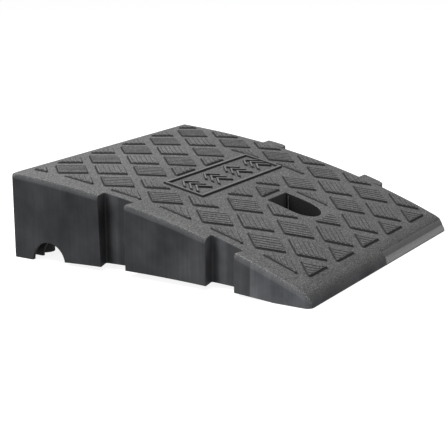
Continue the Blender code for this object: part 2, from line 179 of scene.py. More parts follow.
# Feet, screws and washers, and how far cutters reach.
FOOT_RADIUS = 0.012
FOOT_HEIGHT = 0.008
FOOT_COUNTERBORE = 0.0068
FOOT_LEDGE = 0.005
FOOT_BORE = 0.0029
FOOT_EDGE = 0.0006
FOOT_GROOVE = (0.0053, 0.0049, 0.0042, 0.0038)
FOOT_GROOVE_DEPTH = 0.0005
SOLE_ROUNDING = ((0.0, 0.0014), (0.0004, 0.0004), (0.0014, 0.0))
SOLE_GROOVE = ((0.0099, 0.0), (0.0097, 0.0006), (0.0091, 0.0006), (0.0089, 0.0))
SOLE_CHAMFER = 0.0004
BOSS_RADIUS = 0.015
SCREW_RADIUS = 0.0024
SCREW_HEAD_RADIUS = 0.0046
SCREW_HEAD_HEIGHT = 0.0022
SCREW_LENGTH = 0.018
SCREW_CORE = 0.0018
SCREW_DOME = ((0.0, 0.0), (0.55, 0.00004), (0.78, 0.0003), (0.93, 0.0008), (1.0, 0.0014))
SHANK = 0.003
THREAD = ((-0.0006, 0.0003), (0.0, 0.0008), (-0.0006, 0.0013))
THREAD_PITCH = 0.0016
THREAD_RUN_OUT = 0.0035
SCREW_POINT = 0.0028
POINT_RADIUS = 0.0004
CROSS_REACH = 0.0022
CROSS_HALF = 0.00045
CROSS_START = -0.001
CROSS_DEPTH = 0.0014
CROSS_TAPER = 0.6
WASHER_RADIUS = 0.0062
WASHER_THICKNESS = 0.001
WASHER_CHAMFER = 0.00015
FOOT_COLUMNS = {"near": 0.4, "mid": 5.0, "far": 9.55}
FOOT_ROWS = {"heel": 0.17, "toe": 10.75}
TURN_STEPS = 48
SCREW_STEPS = 40
CUT_LOW = -0.02
CUT_HIGH = 0.2
SPARE = 0.02

# The toe's far half is cut back above a sloping lip: (distance from the toe's end, height), then the same
# with heights from the deck.
TOE_CUT_COLUMN = 4.85
TOE_CUT_LOW = (
    (0.0, 0.0025),
    (0.0030, 0.0062),
    (0.0048, 0.0085),
    (0.0062, 0.0110),
    (0.0078, 0.0145),
)
TOE_CUT_HIGH = (
    (0.0092, -0.0045),
    (0.0108, -0.0024),
    (0.0132, -0.0013),
    (0.0160, -0.0007),
    (0.0220, 0.0003),
)

# Limits that sort the moulding's faces into its materials. A slope is the upward part of a face's normal,
# and a facing the part of it towards the high end.
LIP_REACH = 0.0105
LIP_HEIGHT = 0.0105
LIP_SLOPE = 0.2
HOLE_SLOPE = 0.6
LIT_FACING = -0.9
HOLE_ROOM = 0.0005
SEAM_ROOM = 0.0002
BAR_SLOPE = 0.85
STUD_SLOPE = 0.9
LEAST_LIFT = 0.0002
FIELD_COLUMNS = (-0.3, LAST_COLUMN + 0.2)
FIELD_ROWS = (-0.1, LAST_ROW + 0.1)


def column(number):
    return NEAR_FACE + COLUMN_MARGIN + number * PITCH


def row(number):
    return HIGH_END - ROW_MARGIN - number * PITCH


def deck_height(y):
    share = (row(0) - y) / (LAST_ROW * PITCH)
    linear, square, cubic = DECK_FALL
    return DECK_TOP - share * (linear + share * (square + share * cubic))


def arch_height(y):
    middle = row((ARCH_FROM_ROW + ARCH_TO_ROW) / 2)
    half = (ARCH_TO_ROW - ARCH_FROM_ROW) / 2 * PITCH
    radius = (half**2 + ARCH_RISE**2) / (2 * ARCH_RISE)
    return BASE + math.sqrt(radius**2 - (y - middle) ** 2) - (radius - ARCH_RISE)


# Plane geometry.


def rounded(corners, radius, steps):
    """A closed outline of (x, y) points, with each corner turned into an arc of the radius."""
    if radius <= 0:
        return corners
    points = []
    for i, corner in enumerate(corners):
        here = Vector(corner)
        before = (Vector(corners[i - 1]) - here).normalized()
        after = (Vector(corners[(i + 1) % len(corners)]) - here).normalized()
        angle = before.angle(after)
        reach = radius / math.tan(angle / 2)
        centre = here + (before + after).normalized() * radius / math.sin(angle / 2)
        first = here + before * reach - centre
        last = here + after * reach - centre
        turn = first.angle_signed(last)
        number = max(2, round(steps * abs(turn) / (math.pi / 2)))
        for k in range(number + 1):
            part = first.copy()
            part.rotate(Matrix.Rotation(-turn * k / number, 2))
            points.append((centre.x + part.x, centre.y + part.y))
    return points


def clipped(polygon, point, normal):
    """The part of a convex polygon on the normal's side of a line."""
    kept = []
    for a, b in zip(polygon, polygon[1:] + polygon[:1]):
        da = (a[0] - point[0]) * normal[0] + (a[1] - point[1]) * normal[1]
        db = (b[0] - point[0]) * normal[0] + (b[1] - point[1]) * normal[1]
        if da >= 0:
            kept.append(a)
        if (da > 0 > db) or (da < 0 < db):
            share = da / (da - db)
            kept.append((a[0] + (b[0] - a[0]) * share, a[1] + (b[1] - a[1]) * share))
    return kept


def inset(polygon, distance):
    """A counter-clockwise polygon with each edge moved inwards."""
    normals = []
    for a, b in zip(polygon, polygon[1:] + polygon[:1]):
        edge = Vector((b[0] - a[0], b[1] - a[1])).normalized()
        normals.append(Vector((-edge.y, edge.x)))
    moved = []
    for i, point in enumerate(polygon):
        a, b = normals[i - 1], normals[i]
        miter = (a + b) / (1 + a.dot(b))
        moved.append((point[0] + miter.x * distance, point[1] + miter.y * distance))
    return moved


def ring(polygon, distance):
    """A stud's inner parallel at a distance, with corners of what is left of their radius."""
    return rounded(inset(polygon, distance), max(0.0, STUD_CORNER - distance), STUD_CORNER_STEPS)


# Deck relief: points and lines in plan, each point with its height above the deck.


class Plan:
    """Outlines are the areas that hold relief, which the deck's own points stay clear of."""

    def __init__(self):
        self.points = []
        self.heights = []
        self.lines = []
        self.outlines = []

    def add_point(self, x, y, height):
        self.points.append((x, y))
        self.heights.append(height)
        return len(self.points) - 1

    def add_loop(self, loop, height):
        """A closed line at one height. Returns its points' numbers."""
        numbers = [self.add_point(x, y, height) for x, y in loop]
        self.lines += list(zip(numbers, numbers[1:] + numbers[:1]))
        return numbers


def cut_sides(u, v):
    """Normals, pointing into the stud at a column and row, of the sides where it is cut."""
    sides = []
    if u == 0:
        sides.append((1, 0))
    if u == LAST_COLUMN:
        sides.append((-1, 0))
    if v == 0:
        sides.append((0, -1))
    if v == LAST_ROW:
        sides.append((0, 1))
    for left, right, high, low in KEPT_CLEAR:
        if u in (left, right) and high <= v <= low:
            sides.append((-1, 0) if u == left else (1, 0))
        elif v in (high, low) and left < u < right:
            sides.append((0, 1) if v == high else (0, -1))
    return sides


def stud_polygons():
    """(polygon, ridge direction, centre) of each stud, counter-clockwise. The studs stand on every second
    grid point, and are cut along the field's edge, the badge's area and the grip hole's area."""
    studs = []
    cut = FIELD_CUT * PITCH
    for v in range(LAST_ROW + 1):
        for u in range(v % 2, LAST_COLUMN + 1, 2):
            if any(left < u < right and high < v < low for left, right, high, low in KEPT_CLEAR):
                continue
            x, y = column(u), row(v)
            shape = [(x + STUD_ACROSS, y), (x, y + STUD_ALONG), (x - STUD_ACROSS, y), (x, y - STUD_ALONG)]
            for normal in cut_sides(u, v):
                shape = clipped(shape, (x + normal[0] * cut, y + normal[1] * cut), normal)
            along = Vector((STUD_ACROSS, -STUD_ALONG if v % 2 else STUD_ALONG)).normalized()
            studs.append((shape, along, Vector((x, y))))
    return studs


def plan_area(polygon):
    return sum(a[0] * b[1] - a[1] * b[0] for a, b in zip(polygon, polygon[1:] + polygon[:1])) / 2


def add_stud(plan, shape, along, centre):
    """A plateau with rounded corners, and the ridges on it."""
    for distance, height in STUD_PROFILE:
        plan.add_loop(ring(shape, distance), height)
    plan.outlines.append(ring(shape, 0.0))
    across = Vector((-along.y, along.x))
    panel = inset(shape, RIDGE_RIM)
    offsets = [(Vector(p) - centre).dot(across) for p in panel]
    for k in range(math.floor(min(offsets) / RIDGE_PITCH), math.ceil(max(offsets) / RIDGE_PITCH) + 1):
        middle = centre + across * k * RIDGE_PITCH
        half = clipped(panel, middle - across * RIDGE_HALF, across)
        add_ridge(plan, clipped(half, middle + across * RIDGE_HALF, -across))


def add_ridge(plan, shape):
    """A ridge on a stud's plateau, unless too little is left of it at the stud's edge."""
    base = []
    for point in shape:
        if not base or math.dist(point, base[-1]) > RIDGE_SHORTEST_EDGE:
            base.append(point)
    if len(base) > 2 and math.dist(base[0], base[-1]) < RIDGE_SHORTEST_EDGE:
        base.pop()
    if len(base) < 3 or plan_area(base) < RIDGE_LEAST_AREA:
        return
    top = inset(base, RIDGE_SLOPE)
    for i, point in enumerate(base):
        j = (i + 1) % len(base)
        before = Vector(base[j]) - Vector(point)
        after = Vector(top[j]) - Vector(top[i])
        if before.dot(after) < RIDGE_LEAST_TOP * before.length**2:
            return
    plan.add_loop(base, PLATEAU)
    plan.add_loop(top, RELIEF)


def add_bar(plan, shape):
    """A raised shape with a plain top."""
    for distance, height in BAR_PROFILE:
        plan.add_loop(inset(shape, distance), height)


def add_frame(plan, shape, width):
    """A raised frame with a plain top, inside the shape."""
    add_bar(plan, shape)
    for distance, height in BAR_PROFILE:
        plan.add_loop(inset(shape, width - distance), height)


def area(columns, rows):
    left, right = [column(number) for number in columns]
    high, low = [row(number) for number in rows]
    return [(left, low), (right, low), (right, high), (left, high)]


def add_badge(plan):
    """Raised frame round groups of nested chevrons."""
    outer = area(BADGE_COLUMNS, BADGE_ROWS)
    plan.outlines.append(outer)
    add_frame(plan, outer, BADGE_RIM)
    left, right = column(BADGE_COLUMNS[0]), column(BADGE_COLUMNS[1])
    height = CHEVRON_RISE + CHEVRON_BAR + CHEVRON_STEP * (CHEVRONS_IN_GROUP - 1)
    top = row(sum(BADGE_ROWS) / 2) + height / 2
    for group in range(CHEVRON_GROUPS):
        x = left + (right - left) * (group + 0.5) / CHEVRON_GROUPS
        for n in range(CHEVRONS_IN_GROUP):
            tip = top - CHEVRON_STEP * n
            foot = tip - CHEVRON_RISE
            outline = [(x, tip), (x - CHEVRON_HALF, foot), (x - CHEVRON_HALF, foot - CHEVRON_BAR)]
            outline += [(x, tip - CHEVRON_BAR), (x + CHEVRON_HALF, foot - CHEVRON_BAR)]
            outline.append((x + CHEVRON_HALF, foot))
            add_bar(plan, outline)


def inside(point, polygon):
    x, y = point
    within = False
    for (ax, ay), (bx, by) in zip(polygon, polygon[1:] + polygon[:1]):
        if (ay > y) != (by > y) and x < (bx - ax) * (y - ay) / (by - ay) + ax:
            within = not within
    return within


def clear_of(point, polygon, room):
    for a, b in zip(polygon, polygon[1:] + polygon[:1]):
        ab = (b[0] - a[0], b[1] - a[1])
        ap = (point[0] - a[0], point[1] - a[1])
        t = min(1.0, max(0.0, (ap[0] * ab[0] + ap[1] * ab[1]) / (ab[0] ** 2 + ab[1] ** 2)))
        if math.hypot(ap[0] - ab[0] * t, ap[1] - ab[1] * t) < room:
            return False
    return True


# Outline of the whole moulding. A corner is (x, y, radius at the wall, radius at the deck, edge after it).


def level_shares(step, facet):
    """(inset, drop) of a level, as shares of the edge's width and depth. Step 0 is at the deck."""
    angle = math.radians(90 - 90 * step / ROUND_STEPS)
    arc = (1 - math.cos(angle), 1 - math.sin(angle))
    return tuple(a + (f - a) * facet for a, f in zip(arc, FACET_PROFILE[step]))


def tab_corners(first, last):
    """Plan corners of a tab, from its neck round its end."""
    high, low = row(first), row(last)
    neck = high - (high - low) * TAB_NECK
    places = [
        (FAR_FACE, neck),
        (FAR_FACE + TAB_FLARE, low),
        (TAB_END - TAB_SLOPE, low),
        (TAB_END - TAB_TIP, low + TAB_TIP),
        (TAB_END, low + TAB_SLOPE),
        (TAB_END, high),
        (FAR_FACE, high),
    ]
    edges = [SLOT_EDGE] * 4 + [FAR_EDGE, SLOT_EDGE, FAR_EDGE]
    return [(*place, *corner, edge) for place, corner, edge in zip(places, TAB_CORNERS, edges)]


def socket_places(first, last, margin=0.0):
    """Plan points of a socket, widened by the margin, from its high side round its back."""
    high, low = row(first) + margin, row(last) - margin
    back = NEAR_FACE + SOCKET_DEPTH + margin
    return [
        (NEAR_FACE, high),
        (back, high + SOCKET_UNDERCUT),
        (back, low - SOCKET_UNDERCUT),
        (NEAR_FACE, low),
    ]


def body_corners():
    """Counter-clockwise plan of the moulding with its tabs and sockets."""
    corners = [
        (NEAR_FACE, TOE_END, *NEAR_TOE_CORNER, NOSE_EDGE),
        (FAR_FACE, TOE_END, *FAR_TOE_CORNER, FAR_EDGE),
    ]
    for rows in reversed(TAB_ROWS):
        corners += tab_corners(*rows)
    corners.append((FAR_FACE, HIGH_END, *FAR_HEEL_CORNER, HEEL_EDGE))
    corners.append((NEAR_FACE, HIGH_END, *NEAR_HEEL_CORNER, NEAR_EDGE))
    edges = [SLOT_EDGE] * 3 + [NEAR_EDGE]
    for rows in SOCKET_ROWS:
        for place, corner, edge in zip(socket_places(*rows), SOCKET_CORNERS, edges):
            corners.append((*place, *corner, edge))
    return corners


def tapered(points):
    """The lowest ring, with the upper socket's high side brought lower at its mouth."""
    high = row(SOCKET_ROWS[0][0])
    moved = []
    for x, y, drop in points:
        share = (x - NEAR_FACE) / SOCKET_DEPTH
        if -TAPER_SPARE < share < 1 and abs(y - high - SOCKET_UNDERCUT * share) < TAPER_ROOM:
            y -= SOCKET_TAPER * (1 - share)
        moved.append((x, y, drop))
    return moved


def grip_corners():
    """Clockwise plan of the grip hole: straight at the high side, round at the low side."""
    left, right = column(GRIP_COLUMN) - GRIP_HALF_WIDTH, column(GRIP_COLUMN) + GRIP_HALF_WIDTH
    high, low = row(GRIP_ROWS[0]), row(GRIP_ROWS[1])
    round_end = GRIP_HALF_WIDTH - GRIP_ROUND_SPARE
    return [
        (left, low, round_end, 0, GRIP_EDGE),
        (left, high, GRIP_HIGH_CORNER, 0, GRIP_EDGE),
        (right, high, GRIP_HIGH_CORNER, 0, GRIP_EDGE),
        (right, low, round_end, 0, GRIP_EDGE),
    ]


def edge_normal(a, b):
    edge = Vector((b[0] - a[0], b[1] - a[1])).normalized()
    return Vector((-edge.y, edge.x))


def outline_ring(corners, step):
    """The outline at a level of its edges' rounding, as (x, y, drop) points. Each level has the same number
    of them."""
    count = len(corners)
    normals = [edge_normal(corners[i], corners[(i + 1) % count]) for i in range(count)]
    progress = 1 - step / ROUND_STEPS
    arcs = []
    for i, (x, y, radius, deck_radius, after) in enumerate(corners):
        before = corners[i - 1][4]
        a, b = normals[i - 1], normals[i]
        (in_a, down_a), (in_b, down_b) = level_shares(step, before[2]), level_shares(step, after[2])
        reach_a, reach_b = before[0] * in_a, after[0] * in_b
        drop_a, drop_b = before[1] * down_a, after[1] * down_b
        turn = a.x * b.y - a.y * b.x
        convex = turn > 0
        if convex:
            size = radius + (deck_radius - radius) * progress
        else:
            size = radius + min(reach_a, reach_b)
        sign = 1 if convex else -1
        target = Vector((reach_a + sign * size, reach_b + sign * size))
        centre = Vector((x, y)) + Matrix((a, b)).inverted() @ target
        angle = math.atan2(turn, a.dot(b))
        steps_per_quarter = BIG_CORNER_STEPS if radius > BIG_RADIUS else CORNER_STEPS
        steps = max(2, round(abs(angle) / (math.pi / 2) * steps_per_quarter))
        arc = []
        for k in range(steps + 1):
            share = k / steps
            normal = a.copy()
            normal.rotate(Matrix.Rotation(angle * share, 2))
            point = centre - normal * size * sign
            arc.append((point.x, point.y, drop_a + (drop_b - drop_a) * share))
        arcs.append(arc)
    points = []
    for i, arc in enumerate(arcs):
        following = corners[(i + 1) % count]
        length = math.hypot(following[0] - corners[i][0], following[1] - corners[i][1])
        length -= corners[i][2] + following[2]
        number = max(1, math.ceil(length / LONGEST_EDGE))
        points += arc
        first, last = arc[-1], arcs[(i + 1) % count][0]
        for k in range(1, number):
            points.append(tuple(p + (q - p) * k / number for p, q in zip(first, last)))
    return points


def deck_plan(edge, lip):
    """The deck between its outer edge and the grip hole's lip, and the numbers of the points on both."""
    plan = Plan()
    numbers = plan.add_loop(edge, 0.0), plan.add_loop(lip, 0.0)
    for shape, along, centre in stud_polygons():
        add_stud(plan, shape, along, centre)
    add_badge(plan)
    for i in range(int((FAR_FACE - NEAR_FACE) / LONGEST_EDGE)):
        for j in range(int((HIGH_END - TOE_END) / LONGEST_EDGE)):
            point = (NEAR_FACE + (i + 0.5) * LONGEST_EDGE, TOE_END + (j + 0.5) * LONGEST_EDGE)
            if not inside(point, edge) or inside(point, lip):
                continue
            if any(inside(point, outline) for outline in plan.outlines):
                continue
            if all(clear_of(point, outline, GRID_CLEARANCE) for outline in plan.outlines + [edge, lip]):
                plan.add_point(*point, 0.0)
    return plan, numbers


def between(points, lines, outer, inner):
    """Triangles of the area inside the outer loop and outside the inner one, with the mesh's points and the
    numbers of the given points that each of them comes from."""
    places, _, faces, sources, _, loops = delaunay_2d_cdt(
        [Vector(p) for p in points], lines, [outer, inner], INSIDE_LOOPS, PLAN_MERGE, True
    )
    triangles = [face for face, within in zip(faces, loops) if 0 in within and 1 not in within]
    return triangles, places, sources


def moulding_shell():
    """The moulding as a closed solid without its hollow: deck with its relief, rounded edges and walls."""
    outlines = (body_corners(), grip_corners())
    edge, lip = [[p[:2] for p in outline_ring(corners, 0)] for corners in outlines]
    plan, numbers = deck_plan(edge, lip)
    triangles, places, sources = between(plan.points, plan.lines, numbers[0], numbers[1][::-1])
    bm = bmesh.new()
    made = []
    lookup = {}
    for number, (place, given) in enumerate(zip(places, sources)):
        height = plan.heights[given[0]] if given else 0.0
        made.append(bm.verts.new((place.x, place.y, deck_height(place.y) + height)))
        lookup.update(dict.fromkeys(given, number))
    for triangle in triangles:
        bm.faces.new([made[i] for i in triangle])
    bottoms = []
    for corners, loop in zip(outlines, numbers):
        above = [made[lookup[i]] for i in loop]
        levels = [outline_ring(corners, step) for step in range(1, ROUND_STEPS + 1)]
        rings = [[(x, y, deck_height(y) - drop) for x, y, drop in level] for level in levels]
        rings.append([(x, y, CUT_LOW) for x, y, _ in tapered(levels[-1])])
        for level in rings:
            below = [bm.verts.new(p) for p in level]
            for i in range(len(below)):
                j = (i + 1) % len(below)
                bm.faces.new([above[j], above[i], below[i], below[j]])
            above = below
        bottoms.append(above)
    verts = bottoms[0] + bottoms[1]
    count = len(bottoms[0])
    outer, inner = list(range(count)), list(range(count, len(verts)))
    lines = [pair for loop in (outer, inner) for pair in zip(loop, loop[1:] + loop[:1])]
    triangles, _, sources = between([v.co.xy for v in verts], lines, outer, inner[::-1])
    for triangle in triangles:
        bm.faces.new([verts[sources[i][0]] for i in reversed(triangle)])
    bm.normal_update()
    return bm


# Solids for cutting.


def object_from(bm, name):
    mesh = bpy.data.meshes.new(name)
    bm.to_mesh(mesh)
    bm.free()
    obj = bpy.data.objects.new(name, mesh)
    bpy.context.scene.collection.objects.link(obj)
    return obj


def solid_from(bm, name):
    bmesh.ops.recalc_face_normals(bm, faces=bm.faces)
    return object_from(bm, name)


def add_slab(bm, outline, shift):
    face = bm.faces.new([bm.verts.new(point) for point in outline])
    swept = bmesh.ops.extrude_face_region(bm, geom=[face])
    moved = [item for item in swept["geom"] if isinstance(item, bmesh.types.BMVert)]
    bmesh.ops.translate(bm, verts=moved, vec=Vector(shift))


def add_column(bm, plan, low, high):
    add_slab(bm, [(x, y, low) for x, y in plan], (0, 0, high - low))


def add_sweep(bm, side, left, right):
    add_slab(bm, [(left, y, z) for y, z in side], (right - left, 0, 0))


def add_box(bm, low, high):
    size = [b - a for a, b in zip(low, high)]
    middle = [(a + b) / 2 for a, b in zip(low, high)]
    bmesh.ops.create_cube(bm, size=1.0, matrix=Matrix.Translation(middle) @ Matrix.Diagonal((*size, 1)))


def circle(x, y, radius, steps):
    return [
        (x + radius * math.cos(2 * math.pi * i / steps), y + radius * math.sin(2 * math.pi * i / steps))
        for i in range(steps)
    ]


def combine(obj, operation, other):
    """Applies a Boolean of obj with other, and removes other."""
    modifier = obj.modifiers.new("combine", "BOOLEAN")
    modifier.operation = operation
    modifier.object = other
    modifier.solver = "EXACT"
    bpy.context.view_layer.update()
    evaluated = obj.evaluated_get(bpy.context.evaluated_depsgraph_get())
    mesh = bpy.data.meshes.new_from_object(evaluated)
    obj.modifiers.clear()
    obj.data = mesh
    bpy.data.objects.remove(other, do_unlink=True)
    return obj


def foot_places():
    return [(column(c), row(r)) for r in FOOT_ROWS.values() for c in FOOT_COLUMNS.values()]


def ground_cut():
    """Everything below the moulding's lower edge, which arches off the ground."""
    arch = [row(number) for number in np.linspace(ARCH_FROM_ROW, ARCH_TO_ROW, ARCH_STEPS)]
    side = [(HIGH_END + SPARE, CUT_LOW - SPARE), (HIGH_END + SPARE, BASE)]
    side += [(y, arch_height(y)) for y in arch]
    side += [(TOE_END - SPARE, BASE), (TOE_END - SPARE, CUT_LOW - SPARE)]
    bm = bmesh.new()
    add_sweep(bm, side, NEAR_FACE - SPARE, TAB_END + SPARE)
    return solid_from(bm, "ground_cut")


def tab_cut():
    """Ground clearance below the tabs."""
    bm = bmesh.new()
    low = (FAR_FACE + TAB_CLEARANCE, TOE_END + SPARE, CUT_LOW - SPARE)
    add_box(bm, low, (TAB_END + SPARE, HIGH_END - SPARE, TAB_FOOT))
    return solid_from(bm, "tab_cut")


def grip_plan(margin=0.0):
    points = [p[:2] for p in outline_ring(grip_corners(), ROUND_STEPS)][::-1]
    return inset(points, -margin)


def socket_plans(margin):
    plans = []
    for rows in SOCKET_ROWS:
        plan = socket_places(*rows, margin)[::-1]
        ends = [(x - SPARE, y) for x, y in (plan[-1], plan[0])]
        plans.append(plan + ends)
    return plans


def toe_cut():
    """What the toe's far half lacks above its sloping lip."""
    side = [(TOE_END + reach, height) for reach, height in TOE_CUT_LOW]
    side += [(TOE_END + reach, deck_height(TOE_END + reach) + height) for reach, height in TOE_CUT_HIGH]
    side += [(side[-1][0], CUT_HIGH), (TOE_END - SPARE, CUT_HIGH), (TOE_END - SPARE, side[0][1])]
    bm = bmesh.new()
    add_sweep(bm, side, column(TOE_CUT_COLUMN), FAR_FACE + SPARE)
    return solid_from(bm, "toe_cut")


def underside_cells():
    """The hollows between the ribs, up to the deck's skin, less the bosses and collars that stay solid."""
    bm = bmesh.new()
    edges = [NEAR_FACE + WALL - RIB / 2] + [column(n) for n in RIB_COLUMNS] + [FAR_FACE - WALL + RIB / 2]
    lines = [HIGH_END - WALL + RIB / 2] + [row(n) for n in range(1, LAST_ROW + 1)]
    for left, right in zip(edges, edges[1:]):
        for high, low in zip(lines, lines[1:]):
            corner = (right - RIB / 2, high - RIB / 2, CUT_HIGH)
            add_box(bm, (left + RIB / 2, low + RIB / 2, CUT_LOW), corner)
    cells = solid_from(bm, "underside_cells")
    bm = bmesh.new()
    run = np.linspace(HIGH_END, row(CEILING_END_ROW), CEILING_STEPS)
    side = [(y, deck_height(y) - DECK_SKIN) for y in run]
    side += [(run[-1], CUT_LOW - SPARE), (HIGH_END, CUT_LOW - SPARE)]
    add_sweep(bm, side, NEAR_FACE - WALL, FAR_FACE + WALL)
    combine(cells, "INTERSECT", solid_from(bm, "cell_ceiling"))
    bm = bmesh.new()
    for x, y in foot_places():
        add_column(bm, circle(x, y, BOSS_RADIUS, CIRCLE_STEPS), CUT_LOW - SPARE, CUT_HIGH + SPARE)
    for plan in [grip_plan(COLLAR)] + socket_plans(COLLAR):
        add_column(bm, plan, CUT_LOW - SPARE, CUT_HIGH + SPARE)
    return combine(cells, "DIFFERENCE", solid_from(bm, "foot_bosses"))


def drain_channel():
    """The round channel across the underside, below the high end."""
    bm = bmesh.new()
    side = circle(row(CHANNEL_ROW), BASE, CHANNEL_RADIUS, CHANNEL_STEPS)
    add_sweep(bm, side, NEAR_FACE - SPARE, FAR_FACE + SPARE)
    return solid_from(bm, "drain_channel")


def grip_seam():
    """The thin flash line that the mould left on the grip hole's far wall."""
    far = column(GRIP_COLUMN) + GRIP_HALF_WIDTH
    middle = row(GRIP_ROWS[0]) - SEAM_PLACE
    high = deck_height(middle) - SEAM_SINK
    side = [(middle - SEAM_HALF, SEAM_LOW), (middle + SEAM_HALF, SEAM_LOW)]
    side += [(middle + SEAM_HALF + SEAM_LEAN, high), (middle - SEAM_HALF + SEAM_LEAN, high)]
    bm = bmesh.new()
    add_sweep(bm, side, far - SEAM_RELIEF, far + COLLAR / 2)
    return solid_from(bm, "grip_seam")


def foot_seats():
    """Recesses for the feet, with a gap round each."""
    bm = bmesh.new()
    for x, y in foot_places():
        add_column(bm, circle(x, y, FOOT_RADIUS + GAP, CIRCLE_STEPS), CUT_LOW, FOOT_HEIGHT + GAP)
    return solid_from(bm, "foot_seats")


def moulding():
    body = object_from(moulding_shell(), "ramp_moulding")
    for cutter in (toe_cut, ground_cut, tab_cut, underside_cells, drain_channel, foot_seats):
        combine(body, "DIFFERENCE", cutter())
    combine(body, "UNION", grip_seam())
    body.data.shade_smooth()
    body.data.set_sharp_from_angle(angle=MOULDING_SHARP)
    body.data.materials.clear()
    body.data.materials.append(deck_polymer())
    for name, greys in PLAIN_POLYMERS.items():
        body.data.materials.append(plain_polymer(name, greys))
    names = list(PLAIN_POLYMERS)
    for face in body.data.polygons:
        name = region(*face.center, face.normal)
        if name:
            face.material_index = 1 + names.index(name)
    claim(body, "ramp_body")


def region(x, y, z, normal):
    """Name of the plain polymer of a face, or None for the moulding's general material."""
    upward = normal.z
    # Painted light on the toe lip's faces that face up, below LIP_HEIGHT.
    if y < TOE_END + LIP_REACH and x > column(TOE_CUT_COLUMN) and upward > LIP_SLOPE:
        return "worn_lip" if z < LIP_HEIGHT else "worn_edge"
    if upward < HOLE_SLOPE and inside((x, y), inset(grip_plan(), -HOLE_ROOM)):
        # Painted highlight on the grip seam.
        if inside((x, y), inset(grip_plan(), SEAM_ROOM)):
            return "worn_lip"
        # Painted shade on the grip hole's walls, with a lighter painted copy on the walls that face the toe.
        return "hole_lit" if normal.y < LIT_FACING else "hole_side"
    lift = z - deck_height(y)
    if lift < LEAST_LIFT or not inside((x, y), area(FIELD_COLUMNS, FIELD_ROWS)):
        return None
    if inside((x, y), area(BADGE_COLUMNS, BADGE_ROWS)):
        # Painted shade on the badge's steep faces.
        return "stud_side" if upward < BAR_SLOPE else "worn_edge"
    if upward > STUD_SLOPE:
        return None
    # Painted shade on the sides of studs and, a little lighter, on the sides of their ridges.
    return "stud_side" if lift < PLATEAU else "ridge_side"


def claim(obj, node):
    """Rides the one body, in place of a CAD node."""
    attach(obj, "root")
    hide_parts(node)


# Feet and their fasteners.


def turned(name, profile, closed, steps=TURN_STEPS):
    """A solid turned about Z from (radius, height) points. A closed profile is a ring's section; an open one
    starts and ends on the axis."""
    bm = bmesh.new()
    rings = []
    for radius, height in profile:
        places = circle(0, 0, radius, steps) if radius > 0 else [(0, 0)]
        rings.append([bm.verts.new((x, y, height)) for x, y in places])
    for one, other in zip(rings, rings[1:] + (rings[:1] if closed else [])):
        for i in range(steps):
            j = (i + 1) % steps
            corners = [one[i % len(one)], one[j % len(one)], other[j % len(other)], other[i % len(other)]]
            bm.faces.new(list(dict.fromkeys(corners)))
    return solid_from(bm, name)


def foot_shape():
    """Rubber disc with rounded edges, a groove round its side, one in its sole, and a counterbore."""
    wide, high, bore = FOOT_RADIUS, FOOT_HEIGHT, FOOT_COUNTERBORE
    first, second, third, last = FOOT_GROOVE
    profile = [(FOOT_BORE, high), (wide - FOOT_EDGE, high), (wide, high - FOOT_EDGE), (wide, first)]
    profile += [(wide - FOOT_GROOVE_DEPTH, second), (wide - FOOT_GROOVE_DEPTH, third), (wide, last)]
    profile += [(wide - inwards, height) for inwards, height in SOLE_ROUNDING]
    profile += SOLE_GROOVE
    profile += [(bore + SOLE_CHAMFER, 0), (bore, SOLE_CHAMFER)]
    profile += [(bore, FOOT_LEDGE), (FOOT_BORE, FOOT_LEDGE)]
    return turned("rubber_foot", profile, True)


def screw_shape():
    """Pan-head screw, head down, with a cross recess and thread crests. Its head starts at height 0."""
    head, top = SCREW_HEAD_HEIGHT, SCREW_HEAD_HEIGHT + SCREW_LENGTH
    profile = [(SCREW_HEAD_RADIUS * share, height) for share, height in SCREW_DOME]
    profile += [(SCREW_HEAD_RADIUS, head), (SCREW_CORE, head), (SCREW_CORE, head + SHANK)]
    height = head + SHANK
    while height < top - THREAD_RUN_OUT:
        profile += [(SCREW_RADIUS + inwards, height + rise) for inwards, rise in THREAD]
        height += THREAD_PITCH
    profile += [(SCREW_CORE, top - SCREW_POINT), (POINT_RADIUS, top), (0, top)]
    screw = turned("pan_screw", profile, False, SCREW_STEPS)
    bm = bmesh.new()
    for wide, narrow in ((CROSS_REACH, CROSS_HALF), (CROSS_HALF, CROSS_REACH)):
        plan = [(wide, narrow), (-wide, narrow), (-wide, -narrow), (wide, -narrow)]
        low = [bm.verts.new((x, y, CROSS_START)) for x, y in plan]
        high = [bm.verts.new((x * CROSS_TAPER, y * CROSS_TAPER, CROSS_DEPTH)) for x, y in plan]
        bm.faces.new(low)
        bm.faces.new(high[::-1])
        for i in range(4):
            bm.faces.new([low[i], high[i], high[(i + 1) % 4], low[(i + 1) % 4]])
    return combine(screw, "DIFFERENCE", solid_from(bm, "cross_recess"))


def washer_shape():
    inner, outer, top, cut = SCREW_RADIUS + GAP, WASHER_RADIUS, WASHER_THICKNESS, WASHER_CHAMFER
    profile = [(inner, cut), (inner + cut, 0), (outer - cut, 0), (outer, cut)]
    profile += [(outer, top - cut), (outer - cut, top), (inner + cut, top), (inner, top - cut)]
    return turned("steel_washer", profile, True)


